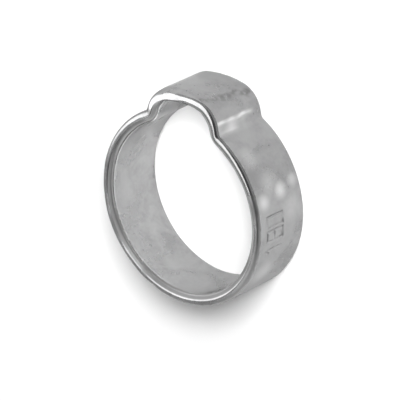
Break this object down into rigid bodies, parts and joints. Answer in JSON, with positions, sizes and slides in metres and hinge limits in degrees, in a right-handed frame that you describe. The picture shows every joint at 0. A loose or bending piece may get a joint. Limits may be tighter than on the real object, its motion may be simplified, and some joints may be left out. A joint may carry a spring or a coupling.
{
  "type": "ear hose clamp",
  "caption": "Seamless narrow steel band with one raised pinch ear, rounded outer rims and bevelled inner rims, for clamping a hose onto a spigot.",
  "frame": {"origin": "centre of the bore, at the middle of the band's width", "axes": "+Z along the bore axis, square to the rims; +Y towards the middle of the ear; the clamp lies flat on its lower rim"},
  "size_m": [0.0204, 0.0224, 0.007],
  "materials": {
    "steel": "satin zinc plate, lightly tumbled, with a few scuffs on the ear"
  },
  "bodies": {
    "root": {"band": "steel"}
  },
  "joints": []
}
